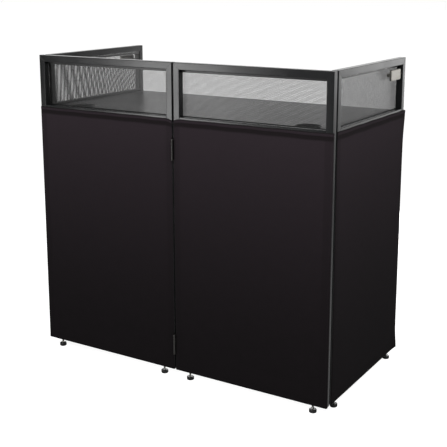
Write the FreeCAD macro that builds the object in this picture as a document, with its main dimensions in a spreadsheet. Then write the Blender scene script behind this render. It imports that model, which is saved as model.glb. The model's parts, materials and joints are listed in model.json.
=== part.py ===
import FreeCAD, Part
import math
import os
from collections import namedtuple

import Sketcher

# Folding performance booth: two front panels and two side panels of square steel tube, hinged
# to each other in a U, each with a grille over a stretched cloth cover, and a lift-off table.
# Millimetres. +Z is up, +X is to the right of someone who faces the front, +Y is the performer's
# side. The floor is at zero, and the origin is the middle of the booth's footprint.

SIZES = {
    # The whole booth, measured over its tubes
    "booth_width": 1200,
    "booth_depth": 612,
    "frame_height": 1110,
    "frame_lift": 30,
    # Welded square tube
    "tube_size": 25,
    "tube_wall": 1.5,
    "window_height": 160,
    # Stretched cloth covers
    "sill_show": 7,
    "cover_thick": 1.2,
    "cover_gap": 0.3,
    "cover_inset": 1,
    "cover_wrap": 8,
    # Perforated grilles in the windows
    "grille_thick": 1,
    "grille_inset": 1,
    "grille_border": 8,
    "opening_flat": 40,
    "opening_pitch": 50,
    # Lift-off hinges between the panels
    "front_gap": 5,
    "corner_gap": 8,
    "hinge_reach": 5,
    "hinge_length": 75,
    "hinge_rise": 60,
    "hinge_drop": 78,
    "leaf_thick": 2,
    "leaf_depth": 20,
    "knuckle_radius": 4.5,
    "knuckle_play": 0.3,
    "pin_radius": 2.5,
    "pin_clearance": 0.05,
    # Table board and its two cable grommets
    "table_thick": 18,
    "table_gap": 4,
    "table_rear_inset": 8,
    "grommet_side_inset": 101,
    "grommet_front_inset": 61,
    "grommet_bore": 37,
    "grommet_wall": 2.5,
    "grommet_clearance": 0.2,
    "flange_radius": 44,
    "flange_seat": 2,
    "flange_rise": 3,
    "flange_bevel": 1.5,
    # Angle brackets that the table rests on
    "rest_thick": 2,
    "rest_reach": 25,
    "rest_width": 40,
    "rest_rise": 20,
    "rest_drop": 0.5,
    "rest_inset": 100,
    "seat_gap": 0.2,
    # Levelling feet and the threaded inserts that they screw into
    "foot_inset": 54,
    "pad_radius": 13,
    "pad_height": 12,
    "pad_bevel": 2,
    "pad_shoulder": 3,
    "stud_radius": 4,
    "stud_rise": 16,
    "insert_flat": 11,
    "insert_rise": 12,
    "insert_clearance": 0.1,
    "thread_clearance": 0.05,
    # Pressed plates in the upper rear corners of the side windows
    "plate_width": 88,
    "plate_height": 37,
    "plate_depth": 7,
    "plate_rear_gap": 18,
    "plate_top_gap": 13,
    "plate_recess": 1.5,
    "plate_sheet": 1,
    "spacer_inset": 12,
    "spacer_height": 12,
}

FULL_TURN = 360
QUARTER_TURN = 90
HALF_TURN = 180
HEXAGON_SIDES = 6
# A hexagon's corners lie this far from its middle, for each unit across its flats
HEXAGON_CORNER_SHARE = 1 / math.sqrt(3)

# Point numbers of sketch geometry, and the number of a sketch's own origin
START, END, CENTRE = 1, 2, 3
ORIGIN = -1

Y_AXIS = FreeCAD.Vector(0, 1, 0)
Z_AXIS = FreeCAD.Vector(0, 0, 1)


class Length:
    """A size in millimetres together with the sheet expression that drives it."""

    def __init__(self, text, value):
        self.text = text
        self.value = value

    def _joined(self, sign, other, value):
        return Length(f"({self.text} {sign} {other.text})", value)

    def __add__(self, other):
        other = as_length(other)
        return self._joined("+", other, self.value + other.value)

    def __sub__(self, other):
        other = as_length(other)
        return self._joined("-", other, self.value - other.value)

    def __mul__(self, other):
        other = as_length(other)
        return self._joined("*", other, self.value * other.value)

    def __truediv__(self, other):
        other = as_length(other)
        return self._joined("/", other, self.value / other.value)

    def __neg__(self):
        return as_length(0) - self


def as_length(number):
    """Returns a Length for a plain number, and a Length as it is."""
    if isinstance(number, Length):
        return number
    return Length(repr(number), number)


def make_sheet(doc):
    """Writes the driving sizes to a sheet and returns them by name."""
    sheet = doc.addObject("Spreadsheet::Sheet", "Sizes")
    for row, (alias, number) in enumerate(SIZES.items(), start=1):
        sheet.set(f"A{row}", alias)
        sheet.set(f"B{row}", str(number))
        sheet.setAlias(f"B{row}", alias)
    doc.recompute()
    lengths = {alias: Length(f"Sizes.{alias}", float(getattr(sheet, alias))) for alias in SIZES}
    return namedtuple("Sizes", lengths)(**lengths)


doc = FreeCAD.newDocument("booth")
size = make_sheet(doc)
zero = as_length(0)

# Sizes and places that more than one piece follows
tube_middle = size.tube_size / 2
sill_height = size.frame_height - size.tube_size - size.window_height
front_width = (size.booth_width - size.front_gap) / 2
side_width = size.booth_depth - size.tube_size - size.corner_gap
cover_reach = size.cover_gap + size.cover_thick
front_limit = -(size.hinge_reach + size.knuckle_radius)
rear_limit = size.booth_depth + cover_reach
middle_depth = (front_limit + rear_limit) / 2
table_left = size.booth_width / 2 - size.tube_size - size.table_gap
table_front = size.tube_size + size.table_gap
table_width = table_left * 2
table_depth = size.booth_depth - size.table_rear_inset - table_front
rest_top = sill_height - size.tube_size - size.rest_drop
table_base = rest_top + size.seat_gap
sleeve_radius = size.grommet_bore + size.grommet_wall
grille_back = size.tube_size - size.grille_inset
grille_front = grille_back - size.grille_thick

# A panel stands on its own X axis along its width, with Y going inwards from its outer face.
# Its free end, where the cover wraps round the tube, is at X zero or at its full width.
Panel = namedtuple("Panel", "name turn x y width free_at_zero")
FRONT_LEFT = Panel("front_left", 0, -(size.booth_width / 2), zero, front_width, True)
FRONT_RIGHT = Panel("front_right", 0, size.front_gap / 2, zero, front_width, False)
SIDE_LEFT = Panel(
    "side_left", -QUARTER_TURN, -(size.booth_width / 2), size.booth_depth, side_width, True)
SIDE_RIGHT = Panel(
    "side_right", QUARTER_TURN, size.booth_width / 2, size.tube_size + size.corner_gap, side_width, False)
FRONTS = (FRONT_LEFT, FRONT_RIGHT)
SIDES = (SIDE_LEFT, SIDE_RIGHT)
PANELS = FRONTS + SIDES

# A seam is a vertical hinge line. Its own Y axis points into the gap between two tubes, and the
# low panel has the leaf on the negative X side of the gap.
Seam = namedtuple("Seam", "name turn x y gap low_panel high_panel")
corner_axis_x = size.booth_width / 2 - size.tube_size - size.hinge_reach
corner_axis_y = size.tube_size + size.corner_gap / 2
SEAMS = (
    Seam("centre", 0, zero, -size.hinge_reach, size.front_gap, FRONT_LEFT, FRONT_RIGHT),
    Seam("right", -QUARTER_TURN, corner_axis_x, corner_axis_y, size.corner_gap, SIDE_RIGHT, FRONT_RIGHT),
    Seam("left", QUARTER_TURN, -corner_axis_x, corner_axis_y, size.corner_gap, FRONT_LEFT, SIDE_LEFT),
)
HINGE_LEVELS = {
    "lower": size.hinge_rise,
    "upper": sill_height - size.hinge_drop - size.hinge_length,
}

nodes = []


def place(piece, x, y, z, turn=FreeCAD.Rotation()):
    """Turns a piece and binds its place, measured from the front face and the frame's underside."""
    piece.Placement = FreeCAD.Placement(FreeCAD.Vector(), turn)
    piece.setExpression("Placement.Base.x", x.text)
    piece.setExpression("Placement.Base.y", (y - middle_depth).text)
    piece.setExpression("Placement.Base.z", (z + size.frame_lift).text)


def place_in_panel(piece, panel, x=zero, y=zero, z=zero):
    """Places a piece by its position in a panel."""
    if panel.turn == QUARTER_TURN:
        world = panel.x - y, panel.y + x
    elif panel.turn == -QUARTER_TURN:
        world = panel.x + y, panel.y - x
    else:
        world = panel.x + x, panel.y + y
    place(piece, *world, z, FreeCAD.Rotation(Z_AXIS, panel.turn))


def make_body(name):
    """Adds an empty body."""
    return doc.addObject("PartDesign::Body", name)


def make_sketch(body, name, role, offset=None):
    """Adds a sketch on one of the body's own origin planes, moved along the plane's normal."""
    plane = next(feature for feature in body.Origin.OriginFeatures if feature.Role == role)
    sketch = body.newObject("Sketcher::SketchObject", f"{body.Name}_{name}")
    sketch.AttachmentSupport = [(plane, "")]
    sketch.MapMode = "FlatFace"
    if offset is not None:
        sketch.setExpression("AttachmentOffset.Base.z", offset.text)
    return sketch


def bind(sketch, kind, *ends, length):
    """Adds a dimension to a sketch and binds it to its size."""
    number = sketch.addConstraint(Sketcher.Constraint(kind, *ends, length.value))
    sketch.setExpression(f"Constraints[{number}]", length.text)


def fix_point(sketch, geometry, point, x, y):
    """Binds a point of a sketch to its distances from the sketch's origin."""
    bind(sketch, "DistanceX", ORIGIN, START, geometry, point, length=x)
    bind(sketch, "DistanceY", ORIGIN, START, geometry, point, length=y)


def draw_polygon(sketch, points):
    """Draws a closed outline through points given as pairs of lengths."""
    corners = [FreeCAD.Vector(x.value, y.value, 0) for x, y in points]
    count = len(corners)
    lines = [
        sketch.addGeometry(Part.LineSegment(corners[i], corners[(i + 1) % count])) for i in range(count)]
    for i, line in enumerate(lines):
        following = lines[(i + 1) % count]
        sketch.addConstraint(Sketcher.Constraint("Coincident", line, END, following, START))
    for line, (x, y) in zip(lines, points):
        fix_point(sketch, line, START, x, y)


def draw_rectangle(sketch, low_x, low_y, high_x, high_y):
    """Draws a rectangle between two corners."""
    draw_polygon(sketch, [(low_x, low_y), (high_x, low_y), (high_x, high_y), (low_x, high_y)])


def draw_hexagon(sketch, x, y, flat):
    """Draws a hexagon about a point, with two sides along X, from the distance across its flats."""
    half_flat = flat / 2
    corner = flat * HEXAGON_CORNER_SHARE
    half_corner = corner / 2
    draw_polygon(sketch, [
        (x + corner, y),
        (x + half_corner, y + half_flat),
        (x - half_corner, y + half_flat),
        (x - corner, y),
        (x - half_corner, y - half_flat),
        (x + half_corner, y - half_flat),
    ])


def draw_circle(sketch, x, y, radius):
    """Draws a circle about a point."""
    centre = FreeCAD.Vector(x.value, y.value, 0)
    circle = sketch.addGeometry(Part.Circle(centre, Z_AXIS, radius.value))
    fix_point(sketch, circle, CENTRE, x, y)
    bind(sketch, "Radius", circle, length=radius)


def pad(body, sketch, length, against_normal=False):
    """Pads a sketch to a bound length."""
    feature = body.newObject("PartDesign::Pad", f"{sketch.Name}_pad")
    feature.Profile = sketch
    feature.setExpression("Length", length.text)
    feature.Reversed = against_normal
    doc.recompute()
    return feature


def pocket(body, sketch, length=None, along_normal=False):
    """Cuts a sketch to a bound length, or right through, and tests that it removed something."""
    before = body.Shape.Volume
    feature = body.newObject("PartDesign::Pocket", f"{sketch.Name}_cut")
    feature.Profile = sketch
    feature.Reversed = along_normal
    if length is None:
        feature.Type = "ThroughAll"
    else:
        feature.setExpression("Length", length.text)
    doc.recompute()
    if body.Shape.Volume >= before:
        raise RuntimeError(f"{feature.Name} cuts nothing")
    return feature


def revolve(name, profile):
    """Returns a body turned about its own Z axis from a half outline in X and Z."""
    body = make_body(name)
    sketch = make_sketch(body, "profile", "XZ_Plane")
    draw_polygon(sketch, profile)
    feature = body.newObject("PartDesign::Revolution", f"{name}_turned")
    feature.Profile = sketch
    feature.ReferenceAxis = (sketch, ["V_Axis"])
    feature.Angle = FULL_TURN
    doc.recompute()
    return body


def keep(piece):
    """Adds a finished piece to the nodes of the part."""
    nodes.append(piece)


def keep_group(name, pieces):
    """Adds identical pieces to the nodes of the part as one group."""
    group = doc.addObject("Part::Compound", name)
    group.Links = pieces
    keep(group)


def build_tube(panel, member, outline, x, z, bore_role):
    """Builds a tube from the outline of its face, hollow along its length."""
    body = make_body(f"{panel.name}_{member}")
    face = make_sketch(body, "face", "XZ_Plane")
    draw_polygon(face, outline)
    pad(body, face, size.tube_size, against_normal=True)
    bore = make_sketch(body, "bore", bore_role)
    far_side = size.tube_size - size.tube_wall
    draw_rectangle(bore, size.tube_wall, size.tube_wall, far_side, far_side)
    pocket(body, bore, along_normal=True)
    place_in_panel(body, panel, x=x, z=z)
    keep(body)
    return body


def build_frame(panel):
    """Builds a panel's five tubes: mitred stiles and rails, and a cross rail between the stiles."""
    tube = size.tube_size
    full, height = panel.width, size.frame_height
    inner, upper = full - tube, height - tube
    left = [(zero, zero), (tube, tube), (tube, upper), (zero, height)]
    right = [(tube, zero), (tube, height), (zero, upper), (zero, tube)]
    top = [(tube, zero), (inner, zero), (full, tube), (zero, tube)]
    bottom = [(zero, zero), (full, zero), (inner, tube), (tube, tube)]
    cross = [(zero, zero), (inner - tube, zero), (inner - tube, tube), (zero, tube)]
    build_tube(panel, "left_stile", left, zero, zero, "XY_Plane")
    build_tube(panel, "right_stile", right, inner, zero, "XY_Plane")
    build_tube(panel, "top_rail", top, zero, upper, "YZ_Plane")
    build_tube(panel, "cross_rail", cross, tube, sill_height - tube, "YZ_Plane")
    rail = build_tube(panel, "bottom_rail", bottom, zero, zero, "YZ_Plane")
    holes = make_sketch(rail, "insert_holes", "XY_Plane")
    for x in foot_places(panel):
        draw_hexagon(holes, x, tube_middle, size.insert_flat + size.insert_clearance * 2)
    pocket(rail, holes, size.tube_wall, along_normal=True)


def foot_places(panel):
    """Returns where a panel's two feet stand along its width."""
    return size.foot_inset, panel.width - size.foot_inset


def build_foot(name):
    """Builds a levelling foot: a round pad, bevelled at its sole and shoulder, moulded on a stud."""
    stud_top = size.frame_lift + size.stud_rise
    return revolve(name, [
        (zero, zero),
        (size.pad_radius - size.pad_bevel, zero),
        (size.pad_radius, size.pad_bevel),
        (size.pad_radius, size.pad_height - size.pad_shoulder),
        (size.pad_radius - size.pad_shoulder, size.pad_height),
        (size.stud_radius, size.pad_height),
        (size.stud_radius, stud_top),
        (zero, stud_top),
    ])


def build_insert(name):
    """Builds a threaded insert, pressed through the wall of a bottom rail."""
    body = make_body(name)
    section = make_sketch(body, "section", "XY_Plane")
    draw_hexagon(section, zero, zero, size.insert_flat)
    draw_circle(section, zero, zero, size.stud_radius + size.thread_clearance)
    pad(body, section, size.insert_rise)
    return body


def build_feet(panel):
    """Builds a panel's levelling feet and the inserts that they screw into."""
    inserts = []
    for end, x in zip(("left", "right"), foot_places(panel)):
        foot = build_foot(f"{panel.name}_{end}_foot")
        place_in_panel(foot, panel, x, tube_middle, -size.frame_lift)
        keep(foot)
        insert = build_insert(f"{panel.name}_{end}_insert")
        place_in_panel(insert, panel, x, tube_middle)
        inserts.append(insert)
    keep_group(f"{panel.name}_foot_inserts", inserts)


def hexagon(x, z, radius):
    """Returns a closed hexagon with a corner at its top, in the plane of a grille."""
    corners = []
    for corner in range(HEXAGON_SIDES + 1):
        angle = math.tau * corner / HEXAGON_SIDES
        corners.append(FreeCAD.Vector(x + radius * math.sin(angle), 0, z + radius * math.cos(angle)))
    return Part.makePolygon(corners)


def build_grille(panel):
    """Builds a window's perforated sheet, with its openings drawn larger and fewer than real."""
    width = (panel.width - size.tube_size * 2).value
    height = size.window_height.value
    pitch = size.opening_pitch.value
    row_pitch = pitch * math.sin(math.tau / HEXAGON_SIDES)
    flat = size.opening_flat.value
    radius = flat / 2 / math.sin(math.tau / HEXAGON_SIDES)
    border = size.grille_border.value
    rows = int((height - 2 * (border + radius)) / row_pitch) + 1
    columns = int((width - 2 * border - flat) / pitch) + 1
    first_x = (width - (columns - 1) * pitch) / 2
    first_z = (height - (rows - 1) * row_pitch) / 2
    corners = [(0, 0), (width, 0), (width, height), (0, height), (0, 0)]
    wires = [Part.makePolygon([FreeCAD.Vector(x, 0, z) for x, z in corners])]
    for row in range(rows):
        shifted = row % 2
        for column in range(columns - shifted):
            x = first_x + (column + shifted / 2) * pitch
            wires.append(hexagon(x, first_z + row * row_pitch, radius))
    sheet = Part.makeFace(wires, "Part::FaceMakerBullseye")
    grille = doc.addObject("Part::Feature", f"{panel.name}_grille")
    grille.Shape = sheet.extrude(Y_AXIS * size.grille_thick.value)
    place_in_panel(grille, panel, size.tube_size, grille_front, sill_height)
    keep(grille)


def build_cover(panel):
    """Builds a panel's cloth cover, which wraps round the tube at the panel's free end."""
    if panel.free_at_zero:
        hinge_end = panel.width - size.cover_inset
        tube_end, outer_end = -size.cover_gap, -cover_reach
    else:
        hinge_end = size.cover_inset
        tube_end, outer_end = panel.width + size.cover_gap, panel.width + cover_reach
    body = make_body(f"{panel.name}_cover")
    sketch = make_sketch(body, "section", "XY_Plane")
    draw_polygon(sketch, [
        (hinge_end, -size.cover_gap),
        (hinge_end, -cover_reach),
        (outer_end, -cover_reach),
        (outer_end, size.cover_wrap),
        (tube_end, size.cover_wrap),
        (tube_end, -size.cover_gap),
    ])
    pad(body, sketch, sill_height - size.sill_show)
    place_in_panel(body, panel)
    keep(body)


def build_rest(name, panel, x):
    """Builds an angle bracket on the cross rail, with its flange under the table."""
    body = make_body(name)
    sketch = make_sketch(body, "section", "YZ_Plane")
    draw_polygon(sketch, [
        (zero, -size.rest_thick),
        (size.rest_reach, -size.rest_thick),
        (size.rest_reach, zero),
        (size.rest_thick, zero),
        (size.rest_thick, size.rest_rise),
        (zero, size.rest_rise),
    ])
    pad(body, sketch, size.rest_width)
    place_in_panel(body, panel, x, size.tube_size, rest_top)
    return body


def build_rests():
    """Builds one bracket in the middle of each front panel and two on each side panel."""
    for panel in FRONTS:
        middle = (panel.width - size.rest_width) / 2
        keep(build_rest(f"{panel.name}_table_rest", panel, middle))
    for panel in SIDES:
        places = size.rest_inset, panel.width - size.rest_inset - size.rest_width
        rests = [
            build_rest(f"{panel.name}_{end}_rest", panel, x) for end, x in zip(("left", "right"), places)]
        keep_group(f"{panel.name}_table_rests", rests)


def draw_eye(sketch, gap):
    """Draws the end of a leaf where it is rolled round the pin."""
    outer_x = -(gap / 2)
    inner_x = outer_x + size.leaf_thick
    top = size.hinge_reach + size.leaf_thick
    radius = size.knuckle_radius.value
    start_angle = math.acos(outer_x.value / radius)
    end_angle = math.acos(inner_x.value / radius) + math.tau
    circle = Part.Circle(FreeCAD.Vector(), Z_AXIS, radius)
    roll = sketch.addGeometry(Part.ArcOfCircle(circle, start_angle, end_angle))
    corners = [
        FreeCAD.Vector(inner_x.value, radius * math.sin(end_angle), 0),
        FreeCAD.Vector(inner_x.value, top.value, 0),
        FreeCAD.Vector(outer_x.value, top.value, 0),
        FreeCAD.Vector(outer_x.value, radius * math.sin(start_angle), 0),
    ]
    inner, across, outer = [
        sketch.addGeometry(Part.LineSegment(a, b)) for a, b in zip(corners, corners[1:])]
    for first, second in ((roll, inner), (inner, across), (across, outer), (outer, roll)):
        sketch.addConstraint(Sketcher.Constraint("Coincident", first, END, second, START))
    sketch.addConstraint(Sketcher.Constraint("Coincident", roll, CENTRE, ORIGIN, START))
    sketch.addConstraint(Sketcher.Constraint("Vertical", inner))
    sketch.addConstraint(Sketcher.Constraint("Vertical", outer))
    bind(sketch, "Radius", roll, length=size.knuckle_radius)
    fix_point(sketch, across, START, inner_x, top)
    fix_point(sketch, across, END, outer_x, top)
    draw_circle(sketch, zero, zero, size.pin_radius + size.pin_clearance)


def build_leaf(name, gap):
    """Builds a hinge leaf: a plate on the tube, rolled round the pin along half of its length."""
    body = make_body(name)
    plate = make_sketch(body, "plate", "XY_Plane")
    outer_x = -(gap / 2)
    draw_rectangle(
        plate, outer_x, size.hinge_reach, outer_x + size.leaf_thick, size.hinge_reach + size.leaf_depth)
    pad(body, plate, size.hinge_length)
    eye = make_sketch(body, "eye", "XY_Plane")
    draw_eye(eye, gap)
    pad(body, eye, (size.hinge_length - size.knuckle_play) / 2)
    return body


def build_pin(name):
    """Builds a hinge pin as long as its leaves."""
    pin = doc.addObject("Part::Cylinder", name)
    pin.setExpression("Radius", size.pin_radius.text)
    pin.setExpression("Height", size.hinge_length.text)
    return pin


def build_hinges(seam):
    """Builds the two hinges of a seam: a leaf with the lower knuckle, its mate and the pin."""
    turn = FreeCAD.Rotation(Z_AXIS, seam.turn)
    flipped = turn * FreeCAD.Rotation(Y_AXIS, HALF_TURN)
    low_leaves, high_leaves, pins = [], [], []
    for level, height in HINGE_LEVELS.items():
        low = build_leaf(f"{seam.name}_{level}_low_leaf", seam.gap)
        place(low, seam.x, seam.y, height, turn)
        low_leaves.append(low)
        high = build_leaf(f"{seam.name}_{level}_high_leaf", seam.gap)
        place(high, seam.x, seam.y, height + size.hinge_length, flipped)
        high_leaves.append(high)
        pin = build_pin(f"{seam.name}_{level}_pin")
        place(pin, seam.x, seam.y, height, turn)
        pins.append(pin)
    keep_group(f"{seam.name}_hinge_{seam.low_panel.name}_leaves", low_leaves)
    keep_group(f"{seam.name}_hinge_{seam.high_panel.name}_leaves", high_leaves)
    keep_group(f"{seam.name}_hinge_pins", pins)


def build_table():
    """Builds the table board, with a stepped hole near each front corner, and its grommets."""
    board = make_body("table_board")
    outline = make_sketch(board, "outline", "XY_Plane")
    draw_rectangle(outline, zero, zero, table_width, table_depth)
    pad(board, outline, size.table_thick)
    places = size.grommet_side_inset, table_width - size.grommet_side_inset
    holes = make_sketch(board, "holes", "XY_Plane")
    seat_height = size.table_thick - size.flange_seat
    seats = make_sketch(board, "seats", "XY_Plane", seat_height)
    for x in places:
        draw_circle(holes, x, size.grommet_front_inset, sleeve_radius + size.grommet_clearance)
        draw_circle(seats, x, size.grommet_front_inset, size.flange_radius + size.grommet_clearance)
    pocket(board, holes, along_normal=True)
    pocket(board, seats, along_normal=True)
    place(board, -table_left, table_front, table_base)
    keep(board)
    flange_top = size.table_thick + size.flange_rise
    grommets = []
    for side, x in zip(("left", "right"), places):
        grommet = revolve(f"{side}_grommet", [
            (size.grommet_bore, zero),
            (sleeve_radius, zero),
            (sleeve_radius, seat_height),
            (size.flange_radius, seat_height),
            (size.flange_radius, flange_top - size.flange_bevel),
            (size.flange_radius - size.flange_bevel, flange_top),
            (size.grommet_bore, flange_top),
        ])
        place(grommet, x - table_left, table_front + size.grommet_front_inset, table_base)
        grommets.append(grommet)
    keep_group("table_grommets", grommets)


def build_plate(panel):
    """Builds the pressed plate in a side window's upper rear corner, with a spacer to the grille."""
    body = make_body(f"{panel.name}_corner_plate")
    sheet = size.plate_sheet
    outline = make_sketch(body, "outline", "XZ_Plane")
    draw_rectangle(outline, zero, zero, size.plate_width, size.plate_height)
    pad(body, outline, size.plate_depth, against_normal=True)
    hollow = make_sketch(body, "hollow", "XZ_Plane", -sheet)
    draw_rectangle(hollow, sheet, sheet, size.plate_width - sheet, size.plate_height - sheet)
    pocket(body, hollow)
    spacer = make_sketch(body, "spacer", "XZ_Plane")
    spacer_base = (size.plate_height - size.spacer_height) / 2
    draw_rectangle(
        spacer, size.spacer_inset, spacer_base,
        size.plate_width - size.spacer_inset, spacer_base + size.spacer_height)
    pad(body, spacer, grille_front - size.plate_recess, against_normal=True)
    inset = size.tube_size + size.plate_rear_gap
    x = inset if panel.free_at_zero else panel.width - inset - size.plate_width
    z = size.frame_height - size.tube_size - size.plate_top_gap - size.plate_height
    place_in_panel(body, panel, x, size.plate_recess, z)
    keep(body)


def check_and_write():
    """Tests every object and every node's solid, then writes one file for each node."""
    doc.recompute()
    for item in doc.Objects:
        if "Invalid" in item.State or "Error" in item.State:
            raise RuntimeError(f"{item.Label} failed: {item.State}")
    for node in nodes:
        if node.Shape.isNull() or not node.Shape.isValid() or not node.Shape.Solids:
            raise RuntimeError(f"{node.Label} has no valid solid")
    os.makedirs("parts", exist_ok=True)
    for node in nodes:
        node.Shape.exportStep(f"parts/{node.Label}.step")
    print(f"{len(nodes)} nodes written")


for booth_panel in PANELS:
    build_frame(booth_panel)
    build_grille(booth_panel)
    build_cover(booth_panel)
    build_feet(booth_panel)
for booth_seam in SEAMS:
    build_hinges(booth_seam)
build_table()
build_rests()
for booth_side in SIDES:
    build_plate(booth_side)
check_and_write()
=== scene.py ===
import json
import logging
import math
from dataclasses import dataclass
from enum import Enum
from typing import Iterable, Optional, Sequence

import bmesh
import bpy
from mathutils import Matrix, Vector

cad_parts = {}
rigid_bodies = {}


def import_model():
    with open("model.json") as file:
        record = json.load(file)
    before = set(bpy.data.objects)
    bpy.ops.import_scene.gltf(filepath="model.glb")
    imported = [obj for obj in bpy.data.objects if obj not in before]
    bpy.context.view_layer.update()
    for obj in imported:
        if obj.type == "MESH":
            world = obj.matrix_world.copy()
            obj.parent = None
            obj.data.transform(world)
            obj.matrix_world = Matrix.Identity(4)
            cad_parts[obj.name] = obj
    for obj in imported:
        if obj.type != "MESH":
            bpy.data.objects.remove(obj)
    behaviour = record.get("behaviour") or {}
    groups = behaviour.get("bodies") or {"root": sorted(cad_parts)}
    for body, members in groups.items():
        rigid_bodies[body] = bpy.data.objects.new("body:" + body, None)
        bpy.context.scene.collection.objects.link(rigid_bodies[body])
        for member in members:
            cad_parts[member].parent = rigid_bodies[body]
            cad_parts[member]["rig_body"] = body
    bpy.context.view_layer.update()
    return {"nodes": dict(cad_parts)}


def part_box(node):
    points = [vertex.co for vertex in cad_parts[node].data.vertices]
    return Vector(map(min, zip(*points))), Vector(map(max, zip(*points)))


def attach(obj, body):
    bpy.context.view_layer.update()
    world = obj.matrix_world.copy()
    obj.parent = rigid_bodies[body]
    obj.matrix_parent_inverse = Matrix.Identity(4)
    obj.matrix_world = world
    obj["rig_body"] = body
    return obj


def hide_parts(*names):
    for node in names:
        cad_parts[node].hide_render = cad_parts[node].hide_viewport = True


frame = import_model()

# Types that come up often
Tree = bpy.types.NodeTree
Node = bpy.types.Node
Socket = bpy.types.NodeSocket
Mesh = bmesh.types.BMesh

LOG = logging.getLogger("booth")
MM = 0.001
X_AXIS = Vector((1.0, 0.0, 0.0))
Y_AXIS = Vector((0.0, 1.0, 0.0))
Z_AXIS = Vector((0.0, 0.0, 1.0))
# Edges that turn by more than this stay crisp under smooth shading
CRISP_ANGLE = math.radians(40.0)
# Edges of a shape that turn by more than this, in radians, are rims
RIM_ANGLE = 1.0
# A direction follows an axis when their cosine is more than this
ALONG_COSINE = 0.99
# A face looks along an axis when their cosine is more than this
FACING_COSINE = 0.9
# The same for a tube's end face, which is square or mitred
END_COSINE = 0.5
# Points nearer than this are one point
MERGE_DISTANCE = 0.04 * MM
# How many sides a screw's or a rivet's head has
HEAD_SIDES = 16
# A screw head's upper radius, its flat rim and its socket's wall, as shares of its radius
SCREW_TAPER, SCREW_RIM, SOCKET_WALL = 0.88, 0.5, 0.04
# The socket's depth as a share of the head's height
SOCKET_DEPTH = 0.8
# A panel's two ends, in the names of its nodes
ENDS = ("left", "right")
# A wave texture of scale one repeats after this length
WAVE_PERIOD = math.pi / 10.0
# A mix node's two inputs and its result, by number, for colours and for values
MIX_A, MIX_B, MIX_RESULT = 6, 7, 2
MIX_LOW, MIX_HIGH, MIX_VALUE = 2, 3, 0
# The whole of a value that runs from none to all
FULL_RANGE = (0.0, 1.0)
WHITE = (1.0, 1.0, 1.0, 1.0)


def linear(code: str) -> tuple[float, float, float, float]:
    """Turns an sRGB hex colour into a linear one.

    Args:
        code: The colour as #rrggbb.

    Returns:
        Linear red, green, blue and full alpha.
    """
    channels = [int(code[at:at + 2], 16) / 255.0 for at in (1, 3, 5)]
    red, green, blue = [
        value / 12.92 if value <= 0.04045 else ((value + 0.055) / 1.055) ** 2.4 for value in channels]
    return red, green, blue, 1.0


def add_node(tree: Tree, kind: str, inputs: Optional[dict] = None, **settings: object) -> Node:
    """Adds a node with its settings, input values and links.

    Args:
        tree: The node tree that takes the node.
        kind: The node's type.
        inputs: Values or source sockets by the input's name or number.
        **settings: Properties of the node.

    Returns:
        The new node.
    """
    node = tree.nodes.new(kind)
    for name, value in settings.items():
        setattr(node, name, value)
    for key, value in (inputs or {}).items():
        if isinstance(value, Socket):
            tree.links.new(value, node.inputs[key])
        else:
            node.inputs[key].default_value = value
    return node


def blend(tree: Tree, factor: Socket, first: str, second: str | Socket) -> Socket:
    """Mixes two colours.

    Args:
        tree: The node tree that takes the node.
        factor: How much of the second colour there is.
        first: A hex colour.
        second: A hex colour or a colour's socket.

    Returns:
        The mixed colour.
    """
    ends = {MIX_A: linear(first), MIX_B: linear(second) if isinstance(second, str) else second}
    return add_node(tree, "ShaderNodeMix", {"Factor": factor, **ends}, data_type="RGBA").outputs[MIX_RESULT]


def spread(tree: Tree, value: Socket, source: tuple[float, float], low: float | Socket = 0.0,
           high: float | Socket = 1.0) -> Socket:
    """Maps a value from one range to another, and holds it there.

    Args:
        tree: The node tree that takes the node.
        value: The value to map.
        source: The range that it comes from.
        low: The result at the range's start.
        high: The result at its end.

    Returns:
        The mapped value.
    """
    return add_node(tree, "ShaderNodeMapRange", {
        "Value": value, "From Min": source[0], "From Max": source[1], "To Min": low, "To Max": high,
    }).outputs["Result"]


def noise(tree: Tree, place: Socket, size: float, detail: float, **more: float) -> Socket:
    """Adds a cloudy pattern.

    Args:
        tree: The node tree that takes the node.
        place: The coordinates that it follows.
        size: How far one cloud is from the next, in metres.
        detail: How many finer layers it has.
        **more: Further inputs by their names in small letters.

    Returns:
        The pattern's value.
    """
    inputs = {"Vector": place, "Scale": 1.0 / size, "Detail": detail}
    inputs.update({name.capitalize(): value for name, value in more.items()})
    return add_node(tree, "ShaderNodeTexNoise", inputs).outputs["Fac"]


def cells(tree: Tree, place: Socket, size: float, feature: str = "F1") -> Socket:
    """Adds a pattern of cells and returns the distance to their middles; size is a cell's width."""
    node = add_node(tree, "ShaderNodeTexVoronoi", {"Vector": place, "Scale": 1.0 / size}, feature=feature)
    return node.outputs["Distance"]


def bumped(tree: Tree, height: Socket, strength: float, depth: float) -> Socket:
    """Turns a height into a normal; depth is the relief's real depth."""
    return add_node(tree, "ShaderNodeBump", {
        "Height": height, "Strength": strength, "Distance": depth}).outputs["Normal"]


class Finish:
    """A surface finish that builds its node material once and hands it out."""

    name: str

    def material(self) -> bpy.types.Material:
        """Returns the finish as a material, made on its first use."""
        made = bpy.data.materials.get(self.name)
        if made is None:
            made = bpy.data.materials.new(self.name)
            made.use_nodes = True
            tree = made.node_tree
            shader = tree.nodes["Principled BSDF"]
            place = add_node(tree, "ShaderNodeTexCoord").outputs["Object"]
            for name, socket in self.dress(tree, shader, place).items():
                tree.links.new(socket, shader.inputs[name])
        return made

    def dress(self, tree: Tree, shader: Node, place: Socket) -> dict[str, Socket]:
        """Sets the shader's plain values and makes its patterns.

        Args:
            tree: The material's node tree.
            shader: Its principled shader.
            place: Object coordinates, in metres.

        Returns:
            The patterns by the shader's inputs that take them.
        """
        raise NotImplementedError


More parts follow.
